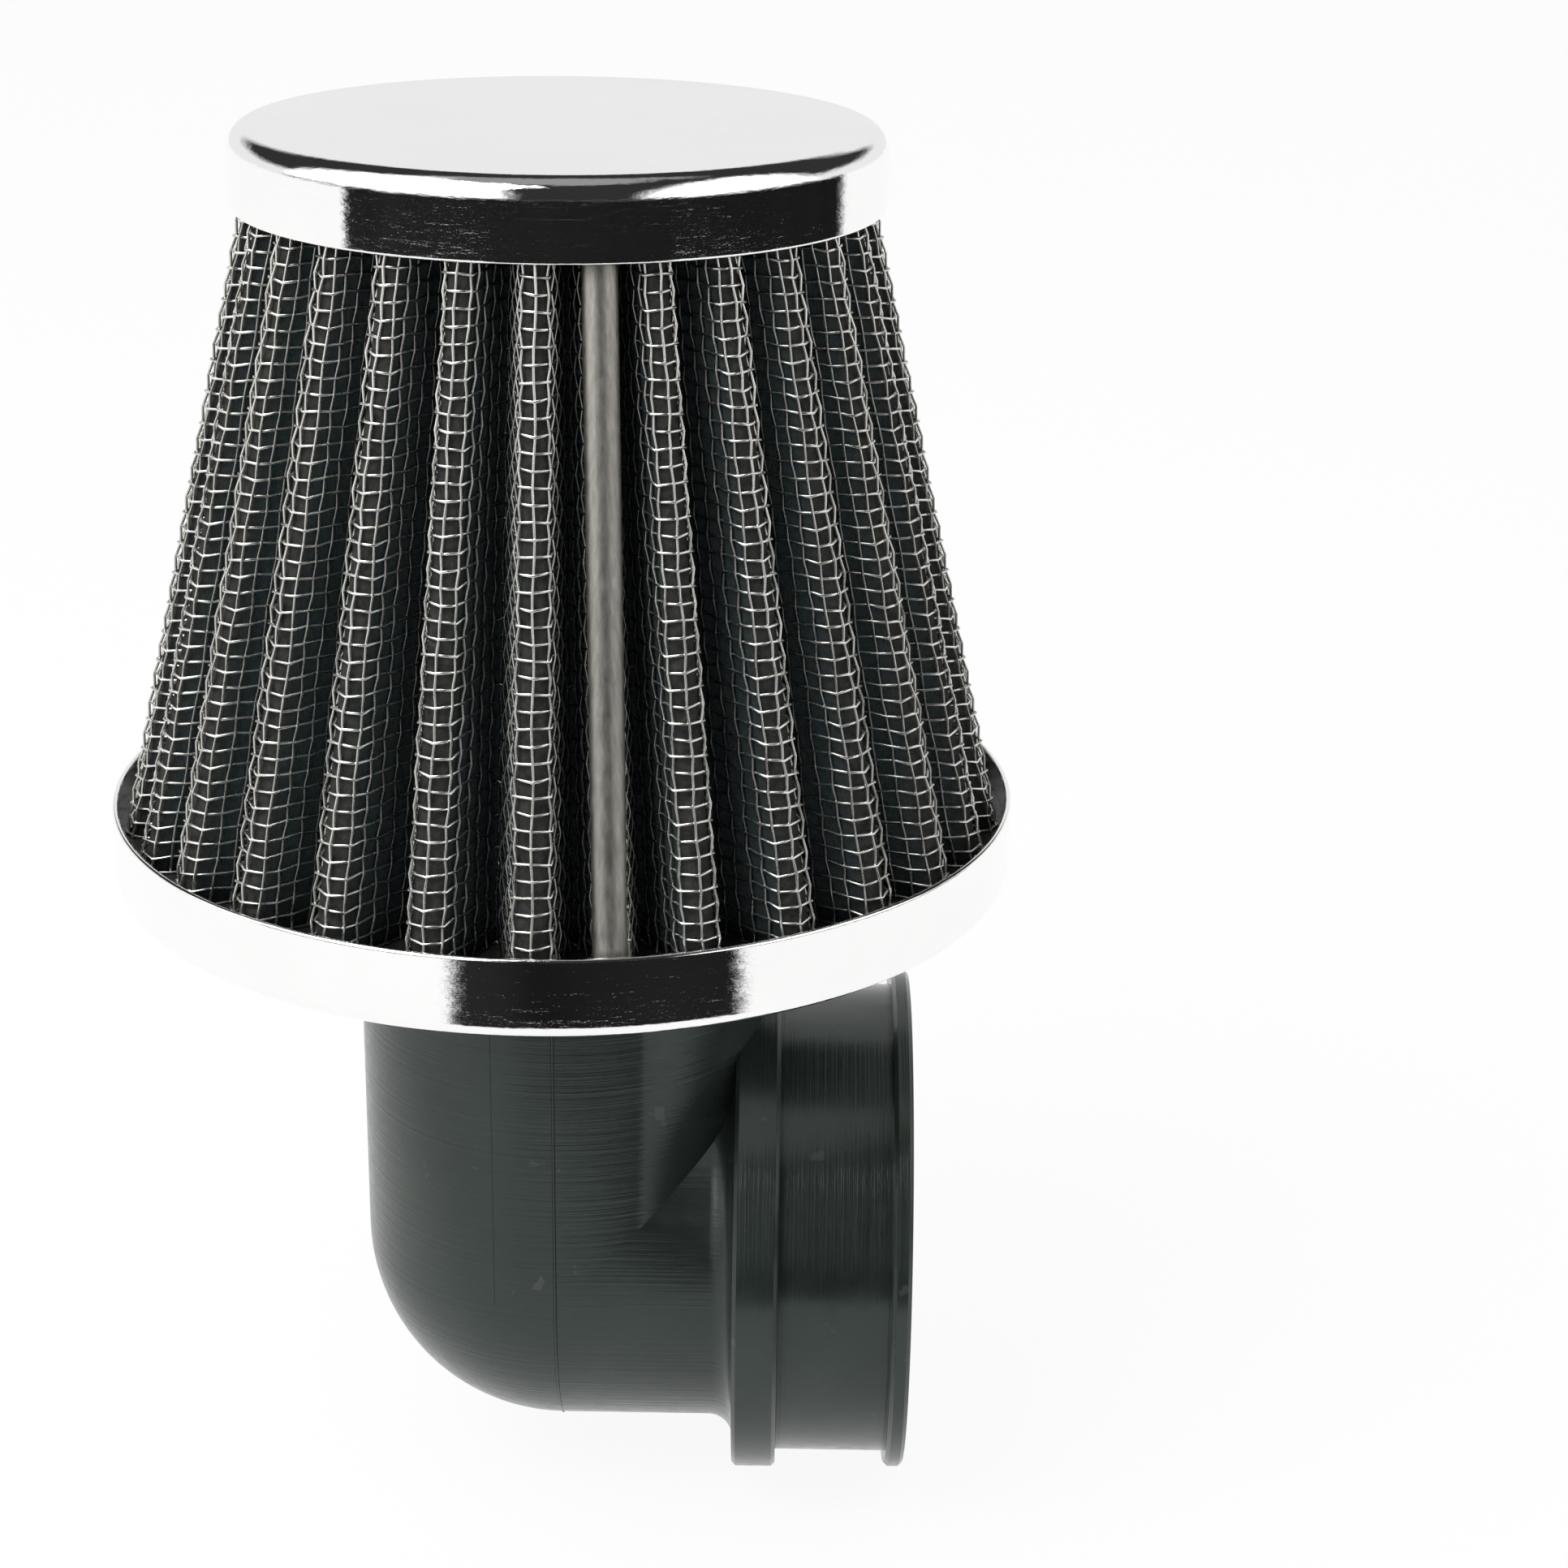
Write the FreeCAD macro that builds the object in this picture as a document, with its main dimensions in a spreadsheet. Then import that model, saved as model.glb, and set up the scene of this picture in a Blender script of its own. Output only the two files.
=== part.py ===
import FreeCAD, Part
import Sketcher
import math
import os

# Cone air filter on a rubber elbow, in millimetres.
# The origin is the centre of the outlet's mouth. +X points out of the mouth, and +Z up along the filter.

Vector = FreeCAD.Vector
doc = FreeCAD.newDocument("AirFilter")
sheet = doc.addObject("Spreadsheet::Sheet", "Sizes")

# Driving dimensions: the name of the cell, its value and what it measures.
SIZES = [
    ("outlet_reach", 35.6, "filter axis to the outlet's mouth"),
    ("rim_height", 49.0, "outlet axis to the base ring's upper edge"),
    ("ring_radius", 45.0, "base ring, outside"),
    ("ring_height", 7.9, "base ring, floor to upper edge"),
    ("ring_sheet", 0.6, "thickness of the base ring's sheet"),
    ("ring_corner", 1.4, "outside radius of the base ring's drawn corner"),
    ("cap_radius", 31.0, "top cap, outside"),
    ("cap_height", 7.5, "top cap, lower edge to its top"),
    ("cap_sheet", 0.6, "thickness of the top cap's sheet"),
    ("cap_corner", 1.8, "outside radius of the top cap's drawn corner"),
    ("bare_height", 58.6, "pleats that show between base ring and top cap"),
    ("crest_low", 43.0, "radius of the crests at the base ring's edge"),
    ("crest_high", 29.9, "radius of the crests at the top cap's edge"),
    ("tuck_low", 3.0, "pleats that reach into the base ring"),
    ("tuck_high", 3.4, "pleats that reach into the top cap"),
    ("crest_count", 27, "full pleats"),
    ("seam_sector", 20.6, "degrees between the two crests beside the seam"),
    ("seam_turn", 10.3, "degrees from the front to the seam, towards the outlet"),
    ("crest_width", 4.3, "width of a crest at the base ring's edge"),
    ("crest_bevel", 1.0, "rounding of a crest, drawn as a bevel"),
    ("pleat_depth", 9.0, "crest to valley at the base ring's edge"),
    ("valley_width", 1.6, "width of a valley's bottom at the base ring's edge"),
    ("seam_width", 2.3, "pinched seam at the base ring's edge"),
    ("seam_drop", 0.9, "how far the seam lies below the crests"),
    ("mesh_wall", 0.45, "outer wire cloth"),
    ("medium_wall", 0.6, "cotton gauze"),
    ("inner_wall", 0.3, "inner wire cloth"),
    ("wire_ridge", 0.25, "height of the lengthwise wires on a crest"),
    ("wire_width", 0.4, "width of the lengthwise wires on a crest"),
    ("gap_width", 1.3, "width of a gap in the outer wire cloth"),
    ("gap_bar", 1.6, "wires left between two gaps"),
    ("gap_count", 4, "gaps along one crest"),
    ("clip_sheet", 0.3, "thickness of the seam clip"),
    ("clip_leg", 3.0, "depth of the seam clip's sides"),
    ("clip_gap", 0.05, "clearance between seam and clip"),
    ("elbow_radius", 21.1, "riser and bend, outside"),
    ("duct_radius", 18.1, "air way through the elbow"),
    ("riser_gap", 0.3, "clearance of the riser in the base ring's hole"),
    ("foot_radius", 25.0, "elbow's foot that lies on the base ring's floor"),
    ("foot_thick", 2.0, "thickness of the elbow's foot"),
    ("socket_radius", 21.5, "bore of the outlet"),
    ("socket_depth", 15.5, "depth of the outlet's bore"),
    ("flange_radius", 26.2, "lip at the outlet's mouth"),
    ("flange_thick", 1.9, "length of that lip"),
    ("barrel_radius", 24.6, "seat for a hose clamp"),
    ("barrel_length", 11.4, "length of that seat"),
    ("shoulder_radius", 26.4, "shoulder behind the seat"),
    ("shoulder_length", 4.5, "length of the shoulder"),
    ("shoulder_root", 2.5, "hollow radius where the bend runs into the shoulder"),
    ("edge_bevel", 0.4, "bevel of the moulded edges"),
    ("sealant_bore", 30.0, "hole in the lower ring of sealant"),
]

for row, (name, value, note) in enumerate(SIZES, start=1):
    sheet.set("A%d" % row, name)
    sheet.set("B%d" % row, str(value))
    sheet.setAlias("B%d" % row, name)
    sheet.set("C%d" % row, note)
doc.recompute()


def value(expression):
    """The number that an expression over the sheet's cells gives now."""
    return float(sheet.evalExpression(expression))


def size(name):
    """The number in one cell of the sheet."""
    return value("Sizes." + name)


# Helpers for turned pieces


def new_body(label, height):
    """A body whose Z axis is the filter's axis, with its zero at the given height."""
    body = doc.addObject("PartDesign::Body", label)
    body.Label = label
    body.setExpression("Placement.Base.x", "-Sizes.outlet_reach")
    body.setExpression("Placement.Base.z", height)
    return body


def pin(sketch, kind, axis, corner, expression):
    """Fixes one coordinate of a corner: on an axis where it is zero, else by a bound distance."""
    if expression == "0":
        sketch.addConstraint(Sketcher.Constraint("PointOnObject", corner, 1, axis))
        return
    distance = Sketcher.Constraint(kind, -1, 1, corner, 1, value(expression))
    number = sketch.addConstraint(distance)
    sketch.setExpression("Constraints[%d]" % number, expression)


def profile(body, name, corners):
    """A closed outline in the body's XZ plane. Each corner is a pair of expressions."""
    sketch = body.newObject("Sketcher::SketchObject", name)
    planes = [plane for plane in body.Origin.OriginFeatures if plane.Role == "XZ_Plane"]
    sketch.AttachmentSupport = [(planes[0], "")]
    sketch.MapMode = "FlatFace"
    points = [Vector(value(across), value(up), 0) for across, up in corners]
    count = len(points)
    for corner in range(count):
        sketch.addGeometry(Part.LineSegment(points[corner], points[(corner + 1) % count]), False)
    for corner in range(count):
        sketch.addConstraint(Sketcher.Constraint("Coincident", corner, 2, (corner + 1) % count, 1))
    for corner, (across, up) in enumerate(corners):
        pin(sketch, "DistanceX", -2, corner, across)
        pin(sketch, "DistanceY", -1, corner, up)
    return sketch


def turn(body, kind, name, axis, corners):
    """Turns an outline about one axis of its sketch, to add or to remove material."""
    feature = body.newObject("PartDesign::" + kind, name)
    sketch = profile(body, name + "_profile", corners)
    feature.Profile = sketch
    feature.ReferenceAxis = (sketch, [axis])
    feature.Angle = 360
    body.Tip = feature
    doc.recompute()
    return feature


def round_corner(across, up, rounding, first, last):
    """Corners on an arc about a centre, in three flat steps between two angles in degrees."""
    angles = [first + (last - first) * step / 3 for step in range(4)]
    return [
        ("%s + (%s) * cos(%d)" % (across, rounding, angle), "%s + (%s) * sin(%d)" % (up, rounding, angle))
        for angle in angles
    ]


def soften_rims(body, kind, amount, name, base, rims):
    """Fillets or chamfers the rims of the outlet at the given radii and places along its axis."""
    names = []
    for number, edge in enumerate(base.Shape.Edges, start=1):
        if edge.Degenerated or not isinstance(edge.Curve, Part.Circle):
            continue
        for rim_radius, rim_place in rims:
            same_radius = abs(edge.Curve.Radius - value(rim_radius)) < 1e-4
            same_place = abs(edge.Curve.Center.x - value(rim_place)) < 1e-4
            if same_radius and same_place:
                names.append("Edge%d" % number)
    feature = body.newObject("PartDesign::" + kind, name)
    feature.Base = (base, names)
    feature.setExpression("Radius" if kind == "Fillet" else "Size", amount)
    body.Tip = feature
    doc.recompute()
    return feature


AT_RIM = "Sizes.rim_height"
AT_OUTLET = "0 * Sizes.rim_height"


# Base ring: a drawn cup with a hole for the riser in its floor.
RING_INSIDE = "Sizes.ring_radius - Sizes.ring_sheet"
RING_FLOOR = "Sizes.ring_sheet - Sizes.ring_height"
RING_HOLE = "Sizes.elbow_radius + Sizes.riser_gap"
RING_CENTRE = ("Sizes.ring_radius - Sizes.ring_corner", "Sizes.ring_corner - Sizes.ring_height")
RING_INNER_CORNER = "Sizes.ring_corner - Sizes.ring_sheet"

ring = new_body("base_ring", AT_RIM)
turn(ring, "Revolution", "ring_cup", "V_Axis", [
    (RING_HOLE, "-Sizes.ring_height"),
    *round_corner(*RING_CENTRE, "Sizes.ring_corner", -90, 0),
    ("Sizes.ring_radius", "0"),
    (RING_INSIDE, "0"),
    *round_corner(*RING_CENTRE, RING_INNER_CORNER, 0, -90),
    (RING_HOLE, RING_FLOOR),
])


# Top cap: a shallow drawn cup, mouth down.
CAP_INSIDE = "Sizes.cap_radius - Sizes.cap_sheet"
CAP_TOP = "Sizes.bare_height + Sizes.cap_height"
CAP_CEILING = "Sizes.bare_height + Sizes.cap_height - Sizes.cap_sheet"
CAP_CENTRE = ("Sizes.cap_radius - Sizes.cap_corner", CAP_TOP + " - Sizes.cap_corner")
CAP_INNER_CORNER = "Sizes.cap_corner - Sizes.cap_sheet"

cap = new_body("top_cap", AT_RIM)
turn(cap, "Revolution", "cap_cup", "V_Axis", [
    ("0", CAP_CEILING),
    *round_corner(*CAP_CENTRE, CAP_INNER_CORNER, 90, 0),
    (CAP_INSIDE, "Sizes.bare_height"),
    ("Sizes.cap_radius", "Sizes.bare_height"),
    *round_corner(*CAP_CENTRE, "Sizes.cap_corner", 0, 90),
    ("0", CAP_TOP),
])


# Sealant cast in both cups, which the pleat ends stand in.
PLEAT_TOP = "Sizes.bare_height + Sizes.tuck_high"

top_sealant = new_body("top_sealant", AT_RIM)
turn(top_sealant, "Revolution", "top_disc", "V_Axis", [
    ("0", PLEAT_TOP),
    (CAP_INSIDE, PLEAT_TOP),
    *round_corner(*CAP_CENTRE, CAP_INNER_CORNER, 0, 90),
    ("0", CAP_CEILING),
])

base_sealant = new_body("base_sealant", AT_RIM)
turn(base_sealant, "Revolution", "base_disc", "V_Axis", [
    ("Sizes.sealant_bore", RING_FLOOR),
    *round_corner(*RING_CENTRE, RING_INNER_CORNER, -90, 0),
    (RING_INSIDE, "-Sizes.tuck_low"),
    ("Sizes.sealant_bore", "-Sizes.tuck_low"),
])


# Rubber elbow: two equal tubes that meet in a mitre, with a ball at the outside of the bend.
FOOT_LOW = "Sizes.rim_height - Sizes.ring_height + Sizes.ring_sheet"
FOOT_HIGH = "Sizes.rim_height - Sizes.ring_height + Sizes.ring_sheet + Sizes.foot_thick"
LIP_BACK = "Sizes.outlet_reach - Sizes.flange_thick"
BARREL_BACK = "Sizes.outlet_reach - Sizes.flange_thick - Sizes.barrel_length"
SHOULDER_BACK = BARREL_BACK + " - Sizes.shoulder_length"
SOCKET_BACK = "Sizes.outlet_reach - Sizes.socket_depth"

elbow = new_body("rubber_elbow", AT_OUTLET)
ball = elbow.newObject("PartDesign::AdditiveSphere", "bend_ball")
ball.setExpression("Radius", "Sizes.elbow_radius")
outlet = turn(elbow, "Revolution", "outlet", "H_Axis", [
    ("0", "0"),
    ("0", "Sizes.elbow_radius"),
    (SHOULDER_BACK, "Sizes.elbow_radius"),
    (SHOULDER_BACK, "Sizes.shoulder_radius"),
    (BARREL_BACK, "Sizes.shoulder_radius"),
    (BARREL_BACK, "Sizes.barrel_radius"),
    (LIP_BACK, "Sizes.barrel_radius"),
    (LIP_BACK, "Sizes.flange_radius"),
    ("Sizes.outlet_reach", "Sizes.flange_radius"),
    ("Sizes.outlet_reach", "0"),
])
outlet_root = soften_rims(elbow, "Fillet", "Sizes.shoulder_root", "shoulder_hollow", outlet, [
    ("Sizes.elbow_radius", SHOULDER_BACK),
])
soften_rims(elbow, "Chamfer", "Sizes.edge_bevel", "outlet_edges", outlet_root, [
    ("Sizes.shoulder_radius", SHOULDER_BACK),
    ("Sizes.shoulder_radius", BARREL_BACK),
    ("Sizes.flange_radius", LIP_BACK),
    ("Sizes.flange_radius", "Sizes.outlet_reach"),
])
turn(elbow, "Revolution", "riser", "V_Axis", [
    ("0", "0"),
    ("Sizes.elbow_radius", "0"),
    ("Sizes.elbow_radius", FOOT_LOW),
    ("Sizes.foot_radius", FOOT_LOW),
    ("Sizes.foot_radius", FOOT_HIGH),
    ("0", FOOT_HIGH),
])
turn(elbow, "Groove", "riser_duct", "V_Axis", [
    ("0", "0"),
    ("Sizes.duct_radius", "0"),
    ("Sizes.duct_radius", FOOT_HIGH),
    ("0", FOOT_HIGH),
])
turn(elbow, "Groove", "outlet_duct", "H_Axis", [
    ("0", "0"),
    ("0", "Sizes.duct_radius"),
    (SOCKET_BACK, "Sizes.duct_radius"),
    (SOCKET_BACK, "Sizes.socket_radius"),
    ("Sizes.outlet_reach", "Sizes.socket_radius"),
    ("Sizes.outlet_reach", "0"),
])
bend_hollow = elbow.newObject("PartDesign::SubtractiveSphere", "bend_hollow")
bend_hollow.setExpression("Radius", "Sizes.duct_radius")
elbow.Tip = bend_hollow
doc.recompute()


# Pleated sheets: outlines at the base ring's edge, drawn towards the cone's tip without bending a face.


def fold(azimuth, shape):
    """Corners of a fold. Each is a step across and a step out from the crest circle."""
    angle = math.radians(azimuth)
    out = Vector(math.sin(angle), -math.cos(angle), 0)
    across = Vector(math.cos(angle), math.sin(angle), 0)
    return [out * (size("crest_low") + rise) + across * side for side, rise in shape]


def mirrored(half):
    """A fold's whole shape from its left half."""
    return half + [(-side, rise) for side, rise in reversed(half)]


CREST = mirrored([
    (-size("crest_width") / 2, -size("crest_bevel")),
    (size("crest_bevel") - size("crest_width") / 2, 0),
])
RIDGE_LEFT = size("crest_bevel") - size("crest_width") / 2
RIDGE_RIGHT = RIDGE_LEFT + size("wire_width")
RIDGED_CREST = mirrored([
    (-size("crest_width") / 2, -size("crest_bevel")),
    (RIDGE_LEFT, 0),
    (RIDGE_LEFT, size("wire_ridge")),
    (RIDGE_RIGHT, size("wire_ridge")),
    (RIDGE_RIGHT, 0),
])
VALLEY = mirrored([(-size("valley_width") / 2, -size("pleat_depth"))])
SEAM = mirrored([
    (-size("seam_width") / 2, -size("seam_drop") - size("clip_leg") - size("clip_sheet")),
    (-size("seam_width") / 2, -size("seam_drop")),
])

CREST_COUNT = int(size("crest_count"))
CREST_PITCH = (360 - size("seam_sector")) / (CREST_COUNT - 1)
CREST_TURNS = [size("seam_turn") + size("seam_sector") / 2 + CREST_PITCH * crest for crest in range(CREST_COUNT)]
SEAM_VALLEYS = [size("seam_turn") - size("seam_sector") / 4, size("seam_turn") + size("seam_sector") / 4]


def outline(crest_shape, with_seam):
    """The pleated sheet's outer outline, round the filter from the crest after the seam."""
    points = []
    for turned in CREST_TURNS[:-1]:
        points += fold(turned, crest_shape)
        points += fold(turned + CREST_PITCH / 2, VALLEY)
    points += fold(CREST_TURNS[-1], crest_shape)
    if with_seam:
        points += fold(SEAM_VALLEYS[0], VALLEY)
        points += fold(size("seam_turn"), SEAM)
        points += fold(SEAM_VALLEYS[1], VALLEY)
    else:
        points += fold(SEAM_VALLEYS[0], VALLEY[:1])
        points += fold(SEAM_VALLEYS[1], VALLEY[1:])
    return points


def moved_in(points, depth):
    """The same outline with every side moved towards the filter's inside."""
    moved = []
    for before, point, after in zip(points[-1:] + points[:-1], points, points[1:] + points[:1]):
        first = (point - before).normalize()
        second = (after - point).normalize()
        first_normal = Vector(first.y, -first.x, 0)
        second_normal = Vector(second.y, -second.x, 0)
        share = depth / (1 + first_normal.dot(second_normal))
        moved.append(point - (first_normal + second_normal) * share)
    return moved


def at_height(points, height):
    """The outline shrunk to the cone's size at a height above the base ring's edge."""
    slope = (size("crest_high") - size("crest_low")) / size("bare_height")
    scale = 1 + slope * height / size("crest_low")
    return [Vector(point.x * scale, point.y * scale, height) for point in points]


PLEAT_LOW = -size("tuck_low")
PLEAT_HIGH = value(PLEAT_TOP)


def tapered(points, low=PLEAT_LOW, high=PLEAT_HIGH):
    """A solid with flat sides between an outline at two heights."""
    lower = at_height(points, low)
    upper = at_height(points, high)
    faces = [
        Part.Face(Part.makePolygon(lower + lower[:1])),
        Part.Face(Part.makePolygon(upper + upper[:1])),
    ]
    for corner in range(len(points)):
        after = (corner + 1) % len(points)
        side = [lower[corner], lower[after], upper[after], upper[corner], lower[corner]]
        faces.append(Part.Face(Part.makePolygon(side)))
    shell = Part.makeShell(faces)
    shell.sewShape()
    solid = Part.makeSolid(shell)
    if solid.Volume < 0:
        solid.reverse()
    return solid


def crest_gaps():
    """Blocks that cut the gaps between the wires of every crest."""
    half = size("gap_width") / 2
    inner = -size("mesh_wall") - size("crest_bevel")
    outer = size("wire_ridge") + size("crest_bevel")
    block = [(-half, outer), (-half, inner), (half, inner), (half, outer)]
    count = int(size("gap_count"))
    length = (size("bare_height") - size("gap_bar") * (count + 1)) / count
    blocks = []
    for turned in CREST_TURNS:
        for gap in range(count):
            low = size("gap_bar") + gap * (length + size("gap_bar"))
            blocks.append(tapered(fold(turned, block), low, low + length))
    return blocks


def new_sheet_part(label, shape):
    """A sub-part with a shape of its own, set on the filter's axis."""
    part = doc.addObject("Part::Feature", label)
    part.Label = label
    part.Shape = shape
    part.Placement = FreeCAD.Placement(Vector(-size("outlet_reach"), 0, size("rim_height")), FreeCAD.Rotation())
    return part


# Outer wire cloth: ridges along the crests, with the gaps between the wires cut through.
closed_outline = outline(CREST, True)
skin = tapered(outline(RIDGED_CREST, True)).cut(tapered(moved_in(closed_outline, size("mesh_wall"))))
outer_mesh = new_sheet_part("outer_mesh", skin.cut(crest_gaps()))

# Gauze and inner wire cloth lie against it, and pass below the pinched seam.
open_outline = outline(CREST, False)
MEDIUM_INSIDE = size("mesh_wall") + size("medium_wall")
medium_shape = tapered(moved_in(open_outline, size("mesh_wall"))).cut(tapered(moved_in(open_outline, MEDIUM_INSIDE)))
medium = new_sheet_part("filter_medium", medium_shape)

INNER_INSIDE = MEDIUM_INSIDE + size("inner_wall")
inner_shape = tapered(moved_in(open_outline, MEDIUM_INSIDE)).cut(tapered(moved_in(open_outline, INNER_INSIDE)))
inner_mesh = new_sheet_part("inner_mesh", inner_shape)

# Seam clip: a folded channel pressed over the pinched seam.
CLIP_INNER = size("seam_width") / 2 + size("clip_gap")
CLIP_OUTER = CLIP_INNER + size("clip_sheet")
CLIP_LOW = -size("seam_drop") - size("clip_leg")
CLIP_CEILING = size("clip_gap") - size("seam_drop")
CLIP = mirrored([
    (-CLIP_OUTER, CLIP_CEILING + size("clip_sheet")),
    (-CLIP_OUTER, CLIP_LOW),
    (-CLIP_INNER, CLIP_LOW),
    (-CLIP_INNER, CLIP_CEILING),
])
clip = new_sheet_part("seam_clip", tapered(fold(size("seam_turn"), CLIP)))
doc.recompute()


# Test every object, then write one STEP file for each sub-part.
for item in doc.Objects:
    if "Invalid" in item.State or "Error" in item.State:
        raise RuntimeError("%s did not build: %s" % (item.Label, item.State))

os.makedirs("parts", exist_ok=True)
SUB_PARTS = [ring, cap, top_sealant, base_sealant, elbow, outer_mesh, medium, inner_mesh, clip]
for part in SUB_PARTS:
    if part.Shape.isNull() or not part.Shape.isValid():
        raise RuntimeError("%s has no sound shape" % part.Label)
    part.Shape.exportStep(os.path.join("parts", part.Label + ".step"))
    print("%s: %d solid, %.1f cubic millimetres" % (part.Label, len(part.Shape.Solids), part.Shape.Volume))
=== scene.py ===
# %% [markdown]
# A cone air filter on a rubber elbow. The measured solids are loaded first and stay where they are.
# Every new piece is made in the same place, in metres, and stands for the solid whose name it gives.

import math

import bpy
from mathutils import Matrix, Vector


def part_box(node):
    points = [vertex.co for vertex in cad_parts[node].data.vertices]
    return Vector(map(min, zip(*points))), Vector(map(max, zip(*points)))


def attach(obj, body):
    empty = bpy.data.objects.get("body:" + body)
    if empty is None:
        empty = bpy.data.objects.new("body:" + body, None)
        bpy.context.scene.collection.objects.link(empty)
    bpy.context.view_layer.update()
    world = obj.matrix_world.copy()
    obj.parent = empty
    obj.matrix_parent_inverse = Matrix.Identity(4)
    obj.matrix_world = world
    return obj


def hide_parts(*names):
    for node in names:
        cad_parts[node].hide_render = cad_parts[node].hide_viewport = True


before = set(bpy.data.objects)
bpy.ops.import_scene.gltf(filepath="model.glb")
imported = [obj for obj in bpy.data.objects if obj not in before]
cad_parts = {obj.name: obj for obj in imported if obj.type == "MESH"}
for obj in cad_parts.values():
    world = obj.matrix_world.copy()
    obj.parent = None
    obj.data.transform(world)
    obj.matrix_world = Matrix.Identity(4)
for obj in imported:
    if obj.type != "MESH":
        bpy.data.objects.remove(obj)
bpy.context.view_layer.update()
MM = 0.001
print("solids:", sorted(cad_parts))

# %% [markdown]
# The frame tells where things are: the filter's axis, the edges of both chromed cups and the ends of
# the pleats. Reading them here keeps the new pieces on the solids when a size changes.

# %% Read the places from the frame
RING_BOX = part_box("base_ring")
CAP_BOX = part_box("top_cap")
MESH_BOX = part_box("outer_mesh")
ELBOW_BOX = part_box("rubber_elbow")

AXIS_X = (RING_BOX[0].x + RING_BOX[1].x) / 2
RIM_Z = RING_BOX[1].z
RING_FLOOR_Z = RING_BOX[0].z
RING_R = (RING_BOX[1].x - RING_BOX[0].x) / 2
CAP_R = (CAP_BOX[1].x - CAP_BOX[0].x) / 2
CAP_EDGE_Z = CAP_BOX[0].z
CAP_TOP_Z = CAP_BOX[1].z
PLEAT_LOW_Z = MESH_BOX[0].z
PLEAT_HIGH_Z = MESH_BOX[1].z
FLOOR_Z = ELBOW_BOX[0].z
print("ring radius %.4f, cap radius %.4f, filter axis at x %.4f" % (RING_R, CAP_R, AXIS_X))

# %% [markdown]
# Operators act on whatever is selected, and the loaded solids are still selected. So every step starts
# by clearing the selection. A finished piece rides on the one body, and takes its finish from a slot.

# %% Helpers for finished pieces


def clear_selection():
    if bpy.context.object and bpy.context.object.mode != "OBJECT":
        bpy.ops.object.mode_set(mode="OBJECT")
    bpy.ops.object.select_all(action="DESELECT")


def select_only(piece):
    clear_selection()
    piece.select_set(True)
    bpy.context.view_layer.objects.active = piece


def new_piece(name, points, edges, faces):
    """An object with a mesh of its own, linked to the scene and selected."""
    mesh = bpy.data.meshes.new(name)
    mesh.from_pydata(points, edges, faces)
    piece = bpy.data.objects.new(name, mesh)
    bpy.context.scene.collection.objects.link(piece)
    select_only(piece)
    return piece


def finish_piece(piece, material, slot, *nodes):
    """Dresses a piece, sets it on the body and hides the solids it stands for."""
    piece.data.materials.clear()
    piece.data.materials.append(material)
    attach(piece, "root")
    if nodes:
        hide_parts(*nodes)
    print("%s: %d faces" % (piece.name, len(piece.data.polygons)))


# %% [markdown]
# Two effects come back in several finishes. Streaks are long fine marks along one direction, as from
# drawing or brushing metal. Mottle is a soft uneven patchiness, as from handling. Both are node groups,
# so each material sets its own scale and places them where it needs them.

# %% Helpers for node groups


def new_group(name, inputs, outputs):
    group = bpy.data.node_groups.new(name, "ShaderNodeTree")
    for socket, kind, default in inputs:
        made = group.interface.new_socket(socket, in_out="INPUT", socket_type=kind)
        made.default_value = default
    for socket, kind in outputs:
        group.interface.new_socket(socket, in_out="OUTPUT", socket_type=kind)
    return group, group.nodes.new("NodeGroupInput"), group.nodes.new("NodeGroupOutput")


def noise(tree, vector, scale, detail=4.0, rough=0.55):
    node = tree.nodes.new("ShaderNodeTexNoise")
    node.inputs["Scale"].default_value = scale
    node.inputs["Detail"].default_value = detail
    node.inputs["Roughness"].default_value = rough
    tree.links.new(vector, node.inputs["Vector"])
    return node


def stretch(tree, value, low, high):
    """Spreads the middle of a value's range over the whole of 0 to 1."""
    node = tree.nodes.new("ShaderNodeMapRange")
    node.inputs["From Min"].default_value = low
    node.inputs["From Max"].default_value = high
    tree.links.new(value, node.inputs["Value"])
    return node.outputs["Result"]


# %% [markdown]
# Both groups start from Noise. Streaks stretch its space before it is read. Mottle reads it twice, once for
# broad patches and once for fine grain. Noise keeps near its middle, so the middle is spread to 0 to 1.

# %% Node groups for streaks and mottle
NOISE_MIDDLE = (0.3, 0.7)
FINE_TIMES = 9.0

STREAKS, streaks_in, streaks_out = new_group(
    "Streaks",
    [("Vector", "NodeSocketVector", (0, 0, 0)), ("Stretch", "NodeSocketVector", (1, 1, 1))],
    [("Value", "NodeSocketFloat")],
)
streak_space = STREAKS.nodes.new("ShaderNodeVectorMath")
streak_space.operation = "MULTIPLY"
STREAKS.links.new(streaks_in.outputs["Vector"], streak_space.inputs[0])
STREAKS.links.new(streaks_in.outputs["Stretch"], streak_space.inputs[1])
streak_noise = noise(STREAKS, streak_space.outputs["Vector"], 1.0, 6.0, 0.6)
streak_value = stretch(STREAKS, streak_noise.outputs["Fac"], *NOISE_MIDDLE)
STREAKS.links.new(streak_value, streaks_out.inputs["Value"])

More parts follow.
